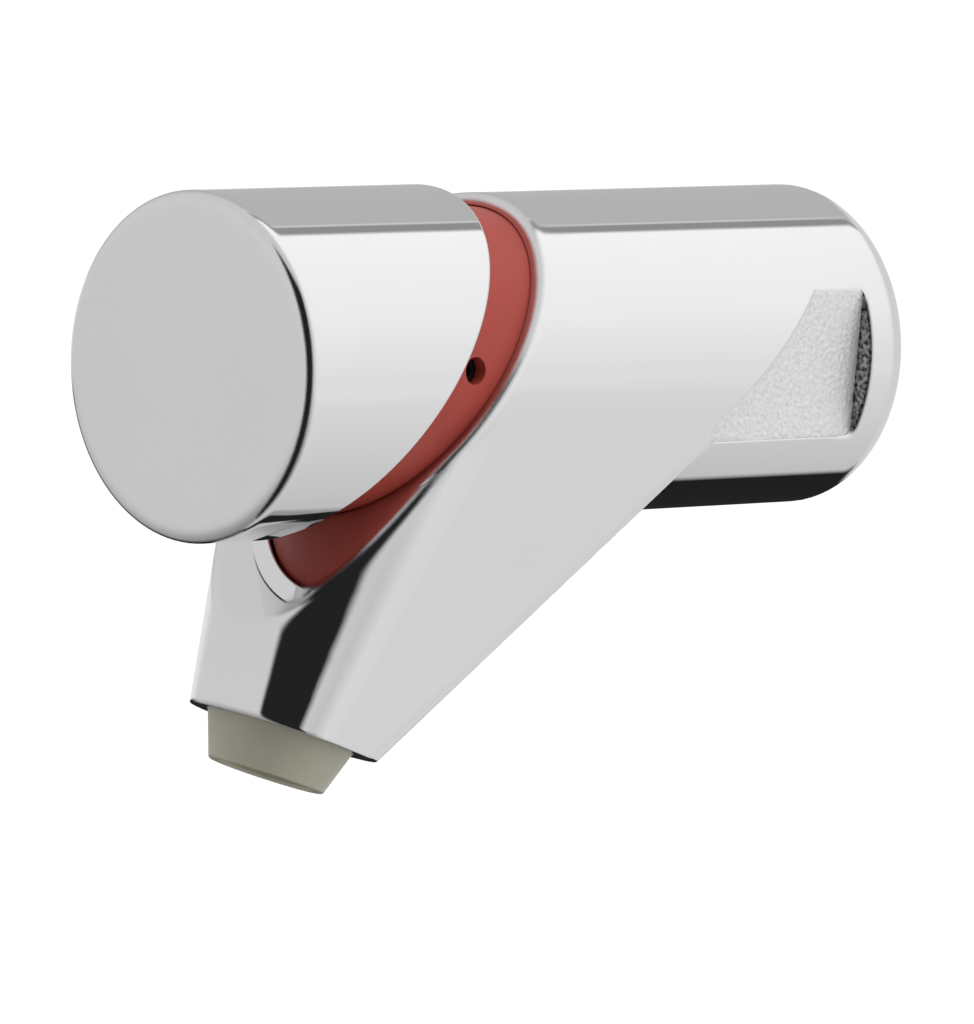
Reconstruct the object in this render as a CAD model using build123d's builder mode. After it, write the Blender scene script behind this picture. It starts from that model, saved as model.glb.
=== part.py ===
from build123d import *
import os
from math import acos, atan2, cos, hypot, pi, radians, sin, sqrt, tan

os.makedirs("parts", exist_ok=True)

# Self-closing push tap for a wall. The wall is the plane y = 0, the user stands towards -Y
# and +Z is up. The origin is on the body's axis, in the wall plane. Millimetres throughout.
# "At" and "reach" values are distances out from the wall, so a reach of 20 is y = -20.

# Body tube and its slanted face
body_r = 23.6
back_edge_r = 2.6
face_tip_drop = 37.26
spout_rim_r = 2.0

# Spout: level round-fronted section at the body, square section at the outlet
spout_front = 103.6
spout_back = 30.1
spout_front_r = 24.2
spout_back_corner_r = 3.1
outlet_tilt = 18.4
outlet_reach = 101.6
outlet_drop = 59.9
end_side_wall = 1.93
end_front_wall = 1.5
end_back_wall = 1.2
end_front_r = 22.0
end_corner_r = 10.2
end_back_corner_r = 7.5
end_edge_r = 0.3
side_trim = 0.05

# Rough cast gripping flats on both sides
grip_depth = 3.0
grip_start = 8.0
grip_top_end = 18.0
grip_bottom_end = 39.0
grip_top = 11.6
grip_bottom = 10.4
grip_corner_r = 1.2

# Water ways
inlet_thread_r = 10.4775
inlet_thread_out = 12.0
inlet_thread_in = 12.0
inlet_neck_step = 0.48
inlet_bore_r = 6.6
inlet_chamfer = 0.8
inlet_step_r = 5.6
inlet_chamber_r = 9.0
inlet_chamber_length = 18.0
cartridge_r = 12.4
cartridge_bore_r = 9.5
seat_wall = 3.5
seat_port_r = 4.5
seat_lip = 1.0
window_step = 14.0
window_length = 6.0
window_width = 7.0
window_to_head = 8.0
gallery_r = 15.2
gallery_margin = 1.0
channel_r = 3.5
channel_bite = 0.7
outlet_chamber_depth = 4.0

# Head nut, which holds the cartridge and guides the spindle
head_thread_r = 14.9
flange_step = 4.8
timing_bore_r = 11.5
timing_room = 4.0
spring_pocket_in_r = 8.5
spring_pocket_out_r = 12.0
spring_pocket_step = 4.0
spanner_slot = 3.0
spanner_slot_depth = 2.0
spanner_slot_overlap = 1.0

# Coloured ring between the body and the button
ring_rim = 1.7
ring_wall = 3.3
ring_seat_depth = 4.0
ring_gap = 0.2
ring_hole_r = 2.0
ring_hole_step = 4.7
ring_hole_angle = 4.6
ring_screw_depth = 2.0
ring_socket_r = 1.1
ring_socket_depth = 2.0

# Push button, and the room it needs to move towards the wall
projection = 124.0
press_room = 8.0
button_length = 28.6
button_stand_off = 11.9
button_gap = 0.4
button_wall = 2.9
button_front_wall = 3.0
button_front_edge_r = 1.4
button_back_edge_r = 0.3

# Insert inside the button and its screw
insert_gap = 0.9
insert_disc = 4.0
insert_hub_r = 8.0
insert_hub = 6.0
insert_floor = 1.5
screw_head_r = 3.6
screw_head = 2.0
screw_r = 2.0
screw_length = 9.0
screw_socket_r = 2.5
screw_socket_depth = 1.0

# Spindle, piston and valve head
spindle_r = 5.0
piston_stub_r = 3.0
valve_stem_r = 2.5
piston_length = 8.0
lip_width = 2.0
lip_depth = 1.8
valve_r = 7.4
valve_disc = 4.0
valve_washer = 2.0
valve_washer_step = 0.4
valve_nut = 2.5
valve_nut_flats = 7.0

# Return spring
spring_wire = 1.5
spring_turns = 7

# Seals
seal_wire_r = 0.9
small_seal_wire_r = 0.75
first_seal_step = 6.5
second_seal_step = 4.0
head_seal_step = 3.5
spindle_seal_step = 3.0
seal_groove_extra = 0.5
gasket_in_r = 12.0
gasket_out_r = 18.5
gasket_thickness = 1.5

# Filter and flow regulator in the inlet
filter_wall = 0.8
filter_length = 9.0
filter_hole_r = 0.6
filter_holes = 10
filter_ring_r = 4.1
filter_inner_ring_r = 2.0
regulator_thickness = 4.0
regulator_hole_r = 0.9
regulator_holes = 8
regulator_ring_r = 4.2

# Outlet nozzle
nozzle_out = 6.72
nozzle_wall = 0.85
nozzle_step = 0.1
nozzle_thread_r = 10.95
nozzle_in = 8.0
nozzle_edge_r = 0.5
nozzle_lip = 1.2
nozzle_lip_width = 0.75
insert_bore_r = 7.75
jet_insert_length = 6.0
jet_hole_r = 0.62
jet_pitch = 1.75
jet_rows = 5
nozzle_seal = 2.0
nozzle_seal_width = 2.95

# Clearances
thread_gap = 0.05
seat_gap = 0.05
running_gap = 0.1


def slant_plane(reach, slope):
    """Plane through the axis at the given reach, square to the YZ plane, leaning out below."""
    return Plane(origin=(0, -reach, 0), x_dir=(1, 0, 0), z_dir=(0, -1, slope))


def square_points(half_width, flare, front, back, front_r, corner_r, back_corner_r):
    """Right half of the outlet section, x to the side and y towards the wall.

    Returns the end and mid points of its front arc, corner arc, side, back corner arc and
    back, and the angle at which the front arc meets the corner arc.
    """
    root = hypot(1, flare)
    x0 = half_width - corner_r * root
    c0 = -front + front_r
    a = flare * flare + 1
    b = 2 * (-x0 * flare - c0)
    c = x0 * x0 + c0 * c0 - (front_r - corner_r) ** 2
    yc = (-b - sqrt(b * b - 4 * a * c)) / (2 * a)
    xc = x0 - flare * yc
    join = atan2(xc, c0 - yc)
    side = atan2(1, -flare)
    y_back = back - back_corner_r
    x_back = half_width - flare * y_back - back_corner_r * root
    mid = (join + side) / 2
    low = (side + pi) / 2
    return {
        "angle": join,
        "apex": (0, -front),
        "join": (front_r * sin(join), c0 - front_r * cos(join)),
        "corner": (xc + corner_r * sin(mid), yc - corner_r * cos(mid)),
        "side_front": (xc + corner_r * sin(side), yc - corner_r * cos(side)),
        "side_back": (x_back + back_corner_r * sin(side), y_back - back_corner_r * cos(side)),
        "back_corner": (x_back + back_corner_r * sin(low), y_back - back_corner_r * cos(low)),
        "back_end": (x_back, back),
    }


def round_points(half_width, join, front, back, front_r, back_corner_r):
    """Right half of the level section: a nearly half-round front, split at the given angle.

    Equal angles give both sections parallel tangents, so the loft has no crease between them.
    """
    corner_r = (half_width - front_r * sin(join)) / (1 - sin(join))
    c0 = -front + front_r
    xc = half_width - corner_r
    yc = c0 - (front_r - corner_r) * cos(join)
    mid = (join + pi / 2) / 2
    low = 3 * pi / 4
    x_back = half_width - back_corner_r
    y_back = back - back_corner_r
    return {
        "apex": (0, -front),
        "join": (front_r * sin(join), c0 - front_r * cos(join)),
        "corner": (xc + corner_r * sin(mid), yc - corner_r * cos(mid)),
        "side_front": (half_width, yc),
        "side_back": (half_width, y_back),
        "back_corner": (x_back + back_corner_r * sin(low), y_back - back_corner_r * cos(low)),
        "back_end": (x_back, back),
    }


def mirrored(point):
    """The same point on the other side of the middle plane."""
    return (-point[0], point[1])


# Radii that follow from the body, the ring and the nozzle
ring_r = body_r - ring_rim - ring_gap
ring_in_r = ring_r - ring_wall
button_in_r = ring_r + button_gap
button_r = button_in_r + button_wall
insert_r = ring_in_r - insert_gap
grip_x = body_r - grip_depth
inlet_neck_r = inlet_thread_r - inlet_neck_step
cartridge_hole_r = cartridge_r + running_gap
head_bore_r = head_thread_r + thread_gap
head_flange_r = ring_in_r - running_gap
piston_r = timing_bore_r - running_gap
valve_washer_r = valve_r - valve_washer_step
spring_r = (spring_pocket_in_r + spring_pocket_out_r) / 2
nozzle_hole_r = nozzle_thread_r + thread_gap
nozzle_top_r = nozzle_thread_r - nozzle_step
nozzle_mouth_r = insert_bore_r + nozzle_wall
nozzle_lip_bore_r = insert_bore_r - nozzle_lip_width
nozzle_seal_in_r = nozzle_thread_r - nozzle_seal_width
nozzle_hole_depth = nozzle_in + nozzle_seal + seat_gap

# Places along the body, from the wall outwards and then back from the button's front
seat_at = inlet_thread_in + inlet_chamber_length
window_at = seat_at + window_step
head_start = window_at + window_length + window_to_head
piston_at = head_start + press_room
timing_bore_end = piston_at + piston_length + timing_room
spindle_seal_at = timing_bore_end + spindle_seal_step
spring_pocket_at = spindle_seal_at + spring_pocket_step
button_floor = projection - button_front_wall
insert_at = button_floor - insert_disc
head_end = insert_at - insert_hub - press_room
ring_end = button_floor - press_room
spindle_end = button_floor - screw_head - insert_floor
button_back_at = projection - button_length
face_at = button_back_at - button_stand_off
ring_hole_at = face_at + ring_hole_step
head_flange_at = ring_hole_at + flange_step
ring_screw_tip = head_thread_r + seat_gap
ring_screw_length = ring_r - ring_screw_depth - ring_screw_tip
seal_groove_width = 2 * seal_wire_r + seal_groove_extra
small_groove_width = 2 * small_seal_wire_r + seal_groove_extra
cartridge_seal_first = seat_at + first_seal_step
cartridge_seal_second = head_start - second_seal_step
head_seal_at = head_start + head_seal_step

# Outlet: its plane, its section and the lean of the spout's sides, tangent to the body tube
tilt = radians(outlet_tilt)
outlet_plane = Plane(
    origin=(0, -outlet_reach, -outlet_drop), x_dir=(1, 0, 0), z_dir=(0, sin(tilt), cos(tilt))
)
end_plane = outlet_plane.offset(nozzle_out)
end_front = nozzle_hole_r + end_front_wall
end_back = nozzle_hole_r + end_back_wall
end_half_width = nozzle_hole_r + end_side_wall
end_centre_z = -outlet_drop + nozzle_out * cos(tilt)
lean = atan2(-end_centre_z, end_half_width) - acos(body_r / hypot(end_half_width, end_centre_z))
end_flare = sin(tilt) * tan(lean)
seam_z = -body_r * sin(lean)
seam_x = body_r * cos(lean)
section_mid = (spout_front + spout_back) / 2
outlet_section = Plane(
    origin=(0, -outlet_reach, -outlet_drop), x_dir=(0, -cos(tilt), sin(tilt)), z_dir=(-1, 0, 0)
)
outlet_axis = Axis((0, -outlet_reach, -outlet_drop), (0, sin(tilt), cos(tilt)))

# Slanted face: from its reach on the axis to the point where it leaves the spout's front line
end_tip = end_plane.from_local_coords(Vector(0, -end_front))
tip_share = (-face_tip_drop - seam_z) / (end_tip.Z - seam_z)
tip_reach = spout_front + (-end_tip.Y - spout_front) * tip_share
face_slope = (tip_reach - face_at) / face_tip_drop
face_plane = slant_plane(face_at, face_slope)
ring_seat_plane = slant_plane(face_at - ring_seat_depth, face_slope)
ring_back_plane = slant_plane(face_at - ring_seat_depth + seat_gap, face_slope)
button_back_plane = slant_plane(button_back_at, face_slope)

# Body: outer form
square = square_points(
    end_half_width + side_trim,
    end_flare,
    end_front,
    end_back,
    end_front_r,
    end_corner_r,
    end_back_corner_r,
)
level = round_points(
    seam_x + side_trim,
    square["angle"],
    spout_front - section_mid,
    section_mid - spout_back,
    spout_front_r,
    spout_back_corner_r,
)
level_plane = Plane(origin=(0, -section_mid, seam_z), x_dir=(1, 0, 0), z_dir=(0, 0, 1))

with BuildPart() as spout:
    with BuildSketch(level_plane):
        with BuildLine():
            ThreePointArc(mirrored(level["join"]), level["apex"], level["join"])
            ThreePointArc(level["join"], level["corner"], level["side_front"])
            Line(level["side_front"], level["side_back"])
            ThreePointArc(level["side_back"], level["back_corner"], level["back_end"])
            Line(level["back_end"], mirrored(level["back_end"]))
            ThreePointArc(
                mirrored(level["back_end"]),
                mirrored(level["back_corner"]),
                mirrored(level["side_back"]),
            )
            Line(mirrored(level["side_back"]), mirrored(level["side_front"]))
            ThreePointArc(
                mirrored(level["side_front"]), mirrored(level["corner"]), mirrored(level["join"])
            )
        make_face()
    with BuildSketch(end_plane):
        with BuildLine():
            ThreePointArc(mirrored(square["join"]), square["apex"], square["join"])
            ThreePointArc(square["join"], square["corner"], square["side_front"])
            Line(square["side_front"], square["side_back"])
            ThreePointArc(square["side_back"], square["back_corner"], square["back_end"])
            Line(square["back_end"], mirrored(square["back_end"]))
            ThreePointArc(
                mirrored(square["back_end"]),
                mirrored(square["back_corner"]),
                mirrored(square["side_back"]),
            )
            Line(mirrored(square["side_back"]), mirrored(square["side_front"]))
            ThreePointArc(
                mirrored(square["side_front"]), mirrored(square["corner"]), mirrored(square["join"])
            )
        make_face()
    loft(ruled=True)

# Flat sides of the spout, tangent to the body tube
low_z = -outlet_drop - end_front
low_x = (body_r + low_z * sin(lean)) / cos(lean)
with BuildPart() as flat_sided_spout:
    with BuildSketch(Plane.XZ):
        with BuildLine():
            Polyline(
                (seam_x, seam_z), (low_x, low_z), (-low_x, low_z), (-seam_x, seam_z), close=True
            )
        make_face()
    extrude(amount=spout_front + end_front + outlet_drop)
    add(spout.part, mode=Mode.INTERSECT)

# Slanted recess that takes the coloured ring
with BuildPart() as ring_recess:
    with BuildSketch(Plane.XZ.offset(head_start)):
        Circle(ring_r + ring_gap)
    extrude(amount=projection - head_start)
    split(bisect_by=ring_seat_plane, keep=Keep.TOP)

with BuildPart() as body:
    with BuildSketch(Plane.XZ):
        Circle(body_r)
    extrude(amount=projection)
    fillet(body.edges().group_by(Axis.Y)[-1], radius=back_edge_r)
    add(flat_sided_spout.part)
    split(bisect_by=face_plane, keep=Keep.BOTTOM)
    # the slanted face rolls over into the spout's front
    face_rim = body.faces().filter_by(face_plane).sort_by(SortBy.AREA)[-1].outer_wire().edges()
    fillet(face_rim.filter_by(GeomType.BSPLINE), radius=spout_rim_r)
    outlet_rim = body.faces().sort_by(outlet_axis)[0].outer_wire().edges()
    fillet(outlet_rim, radius=end_edge_r)
    # gripping flats
    with BuildSketch(Plane.YZ.offset(grip_x)) as grip:
        with BuildLine():
            Polyline(
                (-grip_start, -grip_bottom),
                (-grip_start, grip_top),
                (-grip_top_end, grip_top),
                (-grip_bottom_end, -grip_bottom + 2 * grip_corner_r),
                (-grip_bottom_end, -grip_bottom),
                close=True,
            )
        make_face()
        fillet(grip.vertices(), radius=grip_corner_r)
    extrude(amount=body_r, mode=Mode.SUBTRACT)
    with BuildSketch(Plane.YZ.offset(-grip_x)) as other_grip:
        add(grip.sketch_local)
    extrude(amount=-body_r, mode=Mode.SUBTRACT)
    # ring recess, head thread, cartridge bore, inlet chamber and inlet thread
    add(ring_recess.part, mode=Mode.SUBTRACT)
    with BuildSketch(Plane.YZ):
        with BuildLine():
            Polyline(
                (-projection, 0),
                (-projection, head_bore_r),
                (-head_start, head_bore_r),
                (-head_start, cartridge_hole_r),
                (-window_at - window_length - gallery_margin, cartridge_hole_r),
                (-window_at - window_length - gallery_margin, gallery_r),
                (-window_at + gallery_margin, gallery_r),
                (-window_at + gallery_margin, cartridge_hole_r),
                (-seat_at, cartridge_hole_r),
                (-seat_at, inlet_chamber_r),
                (-inlet_thread_in, inlet_chamber_r),
                (-inlet_thread_in, inlet_neck_r + thread_gap),
                (-gasket_thickness, inlet_neck_r + thread_gap),
                (-gasket_thickness, gasket_out_r + running_gap),
                (0, gasket_out_r + running_gap),
                (0, 0),
                close=True,
            )
        make_face()
    revolve(axis=Axis.Y, mode=Mode.SUBTRACT)
    # outlet: nozzle thread, chamber above it and the sloping channel from the cartridge
    with BuildSketch(end_plane):
        Circle(nozzle_hole_r)
    extrude(amount=nozzle_hole_depth, mode=Mode.SUBTRACT)
    with BuildSketch(end_plane):
        Circle(nozzle_seal_in_r)
    extrude(amount=nozzle_hole_depth + outlet_chamber_depth, mode=Mode.SUBTRACT)

# Channel from the gallery round the cartridge to the outlet chamber
channel_start = Vector(0, -window_at - window_length / 2, channel_bite - gallery_r)
channel_end = outlet_plane.offset(nozzle_out + nozzle_hole_depth + outlet_chamber_depth / 2).origin
channel_run = channel_end - channel_start
with BuildPart() as channel:
    with BuildSketch(Plane(origin=channel_start, x_dir=(1, 0, 0), z_dir=channel_run)):
        Circle(channel_r)
    extrude(amount=channel_run.length)

with BuildPart() as body_done:
    add(body.part)
    add(channel.part, mode=Mode.SUBTRACT)
body_done.part.label = "body"
export_step(body_done.part, "parts/body.step")

# Inlet stub, male pipe thread into the wall fitting
with BuildPart() as inlet_stub:
    with BuildSketch(Plane.YZ):
        with BuildLine():
            Polyline(
                (inlet_thread_out, inlet_bore_r),
                (inlet_thread_out, inlet_thread_r),
                (-gasket_thickness + seat_gap, inlet_thread_r),
                (-gasket_thickness + seat_gap, inlet_neck_r),
                (-inlet_thread_in + seat_gap, inlet_neck_r),
                (-inlet_thread_in + seat_gap, inlet_step_r),
                (-inlet_thread_in / 2, inlet_step_r),
                (-inlet_thread_in / 2, inlet_bore_r),
                close=True,
            )
        make_face()
    revolve(axis=Axis.Y)
    chamfer(inlet_stub.faces().sort_by(Axis.Y)[-1].outer_wire().edges(), length=inlet_chamfer)
inlet_stub.part.label = "inlet_stub"
export_step(inlet_stub.part, "parts/inlet_stub.step")

# Flat gasket between the body and the wall
with BuildPart() as wall_gasket:
    with BuildSketch(Plane.XZ):
        Circle(gasket_out_r)
        Circle(gasket_in_r, mode=Mode.SUBTRACT)
    extrude(amount=gasket_thickness - seat_gap)
wall_gasket.part.label = "wall_gasket"
export_step(wall_gasket.part, "parts/wall_gasket.step")

# Strainer cup in the mouth of the stub
filter_r = inlet_bore_r - seat_gap
with BuildPart() as inlet_filter:
    with BuildSketch(Plane.XZ.offset(-inlet_thread_out)):
        Circle(filter_r)
    extrude(amount=filter_length)
    with BuildSketch(Plane.XZ.offset(-inlet_thread_out)):
        Circle(filter_r - filter_wall)
    extrude(amount=filter_length - filter_wall, mode=Mode.SUBTRACT)
    with BuildSketch(Plane.XZ.offset(-inlet_thread_out)):
        with PolarLocations(filter_ring_r, filter_holes):
            Circle(filter_hole_r)
        with PolarLocations(filter_inner_ring_r, filter_holes // 2):
            Circle(filter_hole_r)
    extrude(amount=filter_length, mode=Mode.SUBTRACT)
inlet_filter.part.label = "inlet_filter"
export_step(inlet_filter.part, "parts/inlet_filter.step")

# Flow regulator disc against the step in the stub
with BuildPart() as flow_regulator:
    with BuildSketch(Plane.XZ.offset(inlet_thread_in / 2 - regulator_thickness - seat_gap)):
        Circle(inlet_bore_r - seat_gap)
        with PolarLocations(regulator_ring_r, regulator_holes):
            Circle(regulator_hole_r, mode=Mode.SUBTRACT)
    extrude(amount=regulator_thickness)
flow_regulator.part.label = "flow_regulator"
export_step(flow_regulator.part, "parts/flow_regulator.step")

# Cartridge sleeve with its outlet windows and two seal grooves
groove_floor_r = cartridge_hole_r - seat_gap - 2 * small_seal_wire_r
with BuildPart() as cartridge_sleeve:
    with BuildSketch(Plane.YZ):
        with BuildLine():
            Polyline(
                (-seat_at - seat_gap, valve_r),
                (-seat_at - seat_gap, cartridge_r),
                (-cartridge_seal_first + small_groove_width / 2, cartridge_r),
                (-cartridge_seal_first + small_groove_width / 2, groove_floor_r),
                (-cartridge_seal_first - small_groove_width / 2, groove_floor_r),
                (-cartridge_seal_first - small_groove_width / 2, cartridge_r),
                (-cartridge_seal_second + small_groove_width / 2, cartridge_r),
                (-cartridge_seal_second + small_groove_width / 2, groove_floor_r),
                (-cartridge_seal_second - small_groove_width / 2, groove_floor_r),
                (-cartridge_seal_second - small_groove_width / 2, cartridge_r),
                (-head_start + seat_gap, cartridge_r),
                (-head_start + seat_gap, cartridge_bore_r),
                (-seat_at - seat_wall, cartridge_bore_r),
                (-seat_at - seat_wall, valve_r),
                close=True,
            )
        make_face()
    revolve(axis=Axis.Y)
    with BuildSketch(Plane.XY):
        with Locations((0, -window_at - window_length / 2)):
            Rectangle(window_width, window_length)
    extrude(amount=cartridge_r, both=True, mode=Mode.SUBTRACT)
    with BuildSketch(Plane.YZ):
        with Locations((-window_at - window_length / 2, 0)):
            Rectangle(window_length, window_width)
    extrude(amount=cartridge_r, both=True, mode=Mode.SUBTRACT)
cartridge_sleeve.part.label = "cartridge_sleeve"
export_step(cartridge_sleeve.part, "parts/cartridge_sleeve.step")

# Valve seat pressed into the sleeve's end wall
with BuildPart() as valve_seat:
    with BuildSketch(Plane.YZ):
        with BuildLine():
            Polyline(
                (-seat_at - seat_gap, seat_port_r),
                (-seat_at - seat_gap, valve_r - seat_gap),
                (-seat_at - seat_wall, valve_r - seat_gap),
                (-seat_at - seat_wall, seat_port_r + seat_lip),
                (-seat_at - seat_wall - seat_lip, seat_port_r + seat_lip),
                (-seat_at - seat_wall - seat_lip, seat_port_r),
                close=True,
            )
        make_face()
    revolve(axis=Axis.Y)
valve_seat.part.label = "valve_seat"
export_step(valve_seat.part, "parts/valve_seat.step")

# Two round seals on the sleeve
cartridge_seal_r = groove_floor_r + small_seal_wire_r
with BuildPart() as sleeve_seal_inner:
    with BuildSketch(Plane.YZ):
        with Locations((-cartridge_seal_first, cartridge_seal_r)):
            Circle(small_seal_wire_r)
    revolve(axis=Axis.Y)
sleeve_seal_inner.part.label = "sleeve_seal_inner"
export_step(sleeve_seal_inner.part, "parts/sleeve_seal_inner.step")

with BuildPart() as sleeve_seal_outer:
    with BuildSketch(Plane.YZ):
        with Locations((-cartridge_seal_second, cartridge_seal_r)):
            Circle(small_seal_wire_r)
    revolve(axis=Axis.Y)
sleeve_seal_outer.part.label = "sleeve_seal_outer"
export_step(sleeve_seal_outer.part, "parts/sleeve_seal_outer.step")

# Head nut: thread, timing bore, spindle guide, spring pocket and ring flange
head_groove_r = head_bore_r - seat_gap - 2 * seal_wire_r
spindle_hole_r = spindle_r + running_gap
spindle_groove_r = spindle_hole_r + 2 * seal_wire_r
with BuildPart() as head_nut:
    with BuildSketch(Plane.YZ):
        with BuildLine():
            Polyline(
                (-head_start, timing_bore_r),
                (-head_start, head_thread_r),
                (-head_seal_at + seal_groove_width / 2, head_thread_r),
                (-head_seal_at + seal_groove_width / 2, head_groove_r),
                (-head_seal_at - seal_groove_width / 2, head_groove_r),
                (-head_seal_at - seal_groove_width / 2, head_thread_r),
                (-head_flange_at, head_thread_r),
                (-head_flange_at, head_flange_r),
                (-head_end, head_flange_r),
                (-head_end, spring_pocket_out_r),
                (-spring_pocket_at, spring_pocket_out_r),
                (-spring_pocket_at, spring_pocket_in_r),
                (-head_end, spring_pocket_in_r),
                (-head_end, spindle_hole_r),
                (-spindle_seal_at - seal_groove_width / 2, spindle_hole_r),
                (-spindle_seal_at - seal_groove_width / 2, spindle_groove_r),
                (-spindle_seal_at + seal_groove_width / 2, spindle_groove_r),
                (-spindle_seal_at + seal_groove_width / 2, spindle_hole_r),
                (-timing_bore_end, spindle_hole_r),
                (-timing_bore_end, timing_bore_r),
                close=True,
            )
        make_face()
    revolve(axis=Axis.Y)
    with BuildSketch(Plane.XZ.offset(head_end - spanner_slot_depth)):
        with PolarLocations((spring_pocket_out_r + head_flange_r) / 2, 4):
            Rectangle(
                head_flange_r - spring_pocket_out_r + 2 * spanner_slot_overlap, spanner_slot
            )
    extrude(amount=spanner_slot_depth, mode=Mode.SUBTRACT)
head_nut.part.label = "head_nut"
export_step(head_nut.part, "parts/head_nut.step")

with BuildPart() as head_seal:
    with BuildSketch(Plane.YZ):
        with Locations((-head_seal_at, head_groove_r + seal_wire_r)):
            Circle(seal_wire_r)
    revolve(axis=Axis.Y)
head_seal.part.label = "head_seal"
export_step(head_seal.part, "parts/head_seal.step")

with BuildPart() as spindle_seal:
    with BuildSketch(Plane.YZ):
        with Locations((-spindle_seal_at, spindle_hole_r + seal_wire_r)):
            Circle(seal_wire_r - seat_gap)
    revolve(axis=Axis.Y)
spindle_seal.part.label = "spindle_seal"
export_step(spindle_seal.part, "parts/spindle_seal.step")

# Coloured ring, cut on the slant where it enters the body
ring_hole_plane = Plane(
    origin=(0, -ring_hole_at, 0),
    x_dir=(0, 1, 0),
    z_dir=(cos(radians(ring_hole_angle)), 0, sin(radians(ring_hole_angle))),
)
with BuildPart() as colour_ring:
    with BuildSketch(Plane.XZ.offset(head_start)):
        Circle(ring_r)
        Circle(ring_in_r, mode=Mode.SUBTRACT)
    extrude(amount=ring_end - head_start)
    split(bisect_by=ring_back_plane, keep=Keep.TOP)
    with BuildSketch(ring_hole_plane):
        Circle(ring_hole_r)
    extrude(amount=body_r, mode=Mode.SUBTRACT)
colour_ring.part.label = "colour_ring"
export_step(colour_ring.part, "parts/colour_ring.step")

# Grub screw in the ring's hole, its tip on the head nut
with BuildPart() as ring_screw:
    with BuildSketch(ring_hole_plane.offset(ring_screw_tip)):
        Circle(ring_hole_r - thread_gap)
    extrude(amount=ring_screw_length)
    with BuildSketch(ring_hole_plane.offset(ring_screw_tip + ring_screw_length)):
        RegularPolygon(radius=ring_socket_r, side_count=6)
    extrude(amount=-ring_socket_depth, mode=Mode.SUBTRACT)
ring_screw.part.label = "ring_screw"
export_step(ring_screw.part, "parts/ring_screw.step")

# Push button: a cup whose back edge follows the slanted face
with BuildPart() as push_button:
    with BuildSketch(Plane.XZ.offset(head_start)):
        Circle(button_r)
    extrude(amount=projection - head_start)
    fillet(push_button.faces().sort_by(Axis.Y)[0].outer_wire().edges(), radius=button_front_edge_r)
    with BuildSketch(Plane.XZ.offset(head_start)):
        Circle(button_in_r)
    extrude(amount=button_floor - head_start, mode=Mode.SUBTRACT)
    split(bisect_by=button_back_plane, keep=Keep.TOP)
    fillet(push_button.edges().filter_by(GeomType.ELLIPSE), radius=button_back_edge_r)
push_button.part.label = "push_button"
export_step(push_button.part, "parts/push_button.step")

# Insert that ties the button to the spindle
with BuildPart() as button_insert:
    with BuildSketch(Plane.YZ):
        with BuildLine():
            Polyline(
                (-insert_at + insert_hub, spindle_r + seat_gap),
                (-insert_at + insert_hub, insert_hub_r),
                (-insert_at, insert_hub_r),
                (-insert_at, insert_r),
                (-button_floor + seat_gap, insert_r),
                (-button_floor + seat_gap, screw_head_r + 2 * seat_gap),
                (-spindle_end - insert_floor, screw_head_r + 2 * seat_gap),
                (-spindle_end - insert_floor, screw_r + seat_gap),
                (-spindle_end, screw_r + seat_gap),
                (-spindle_end, spindle_r + seat_gap),
                close=True,
            )
        make_face()
    revolve(axis=Axis.Y)
button_insert.part.label = "button_insert"
export_step(button_insert.part, "parts/button_insert.step")

# Screw through the insert into the spindle
with BuildPart() as button_screw:
    with BuildSketch(Plane.XZ.offset(spindle_end + insert_floor)):
        Circle(screw_head_r)
    extrude(amount=screw_head - 2 * seat_gap)
    with BuildSketch(Plane.XZ.offset(spindle_end + insert_floor)):
        Circle(screw_r)
    extrude(amount=-screw_length)
    with BuildSketch(Plane.XZ.offset(button_floor - 2 * seat_gap)):
        RegularPolygon(radius=screw_socket_r, side_count=6)
    extrude(amount=-screw_socket_depth, mode=Mode.SUBTRACT)
button_screw.part.label = "button_screw"
export_step(button_screw.part, "parts/button_screw.step")

# Spindle from the button to the valve head
valve_back = seat_at - valve_washer - valve_disc
with BuildPart() as spindle:
    with BuildSketch(Plane.YZ):
        with BuildLine():
            Polyline(
                (-valve_back + valve_nut, 0),
                (-valve_back + valve_nut, valve_stem_r),
                (-piston_at, valve_stem_r),
                (-piston_at, piston_stub_r),
                (-piston_at - piston_length, piston_stub_r),
                (-piston_at - piston_length, spindle_r),
                (-spindle_end + seat_gap, spindle_r),
                (-spindle_end + seat_gap, screw_r + thread_gap),
                (-spindle_end + screw_length, screw_r + thread_gap),
                (-spindle_end + screw_length, 0),
                close=True,
            )
        make_face()
    revolve(axis=Axis.Y)
spindle.part.label = "spindle"
export_step(spindle.part, "parts/spindle.step")

# Timing piston and its lip seal
lip_mid = piston_at + piston_length / 2
with BuildPart() as piston:
    with BuildSketch(Plane.YZ):
        with BuildLine():
            Polyline(
                (-piston_at, piston_stub_r + seat_gap),
                (-piston_at, piston_r),
                (-lip_mid + lip_width / 2, piston_r),
                (-lip_mid + lip_width / 2, piston_r - lip_depth),
                (-lip_mid - lip_width / 2, piston_r - lip_depth),
                (-lip_mid - lip_width / 2, piston_r),
                (-piston_at - piston_length + seat_gap, piston_r),
                (-piston_at - piston_length + seat_gap, piston_stub_r + seat_gap),
                close=True,
            )
        make_face()
    revolve(axis=Axis.Y)
piston.part.label = "piston"
export_step(piston.part, "parts/piston.step")

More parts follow.
